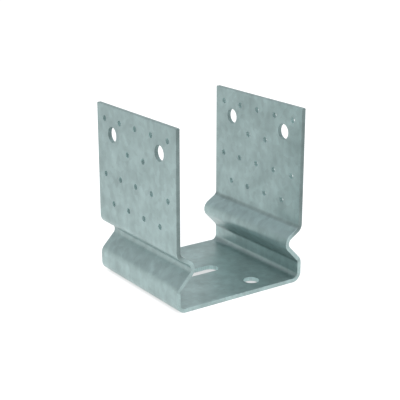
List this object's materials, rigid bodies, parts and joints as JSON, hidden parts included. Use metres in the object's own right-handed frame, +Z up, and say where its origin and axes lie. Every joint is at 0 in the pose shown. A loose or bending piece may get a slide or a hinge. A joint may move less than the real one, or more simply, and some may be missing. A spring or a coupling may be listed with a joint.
{
  "type": "u post base",
  "caption": "U-shaped post base folded from a galvanised steel strip, with perforated upright plates, waisted sides that hold the post off the ground, and a drilled flat base.",
  "frame": {"origin": "middle of the underside of the base", "axes": "+Z up along the upright plates, +X across the U from the left plate to the right plate, +Y from the front edge to the rear edge"},
  "size_m": [0.106, 0.1, 0.126],
  "materials": {
    "galvanised_steel": "zinc coated, semi-gloss, with a faint spangle"
  },
  "bodies": {
    "root": {"post_base": "galvanised_steel"}
  },
  "joints": []
}
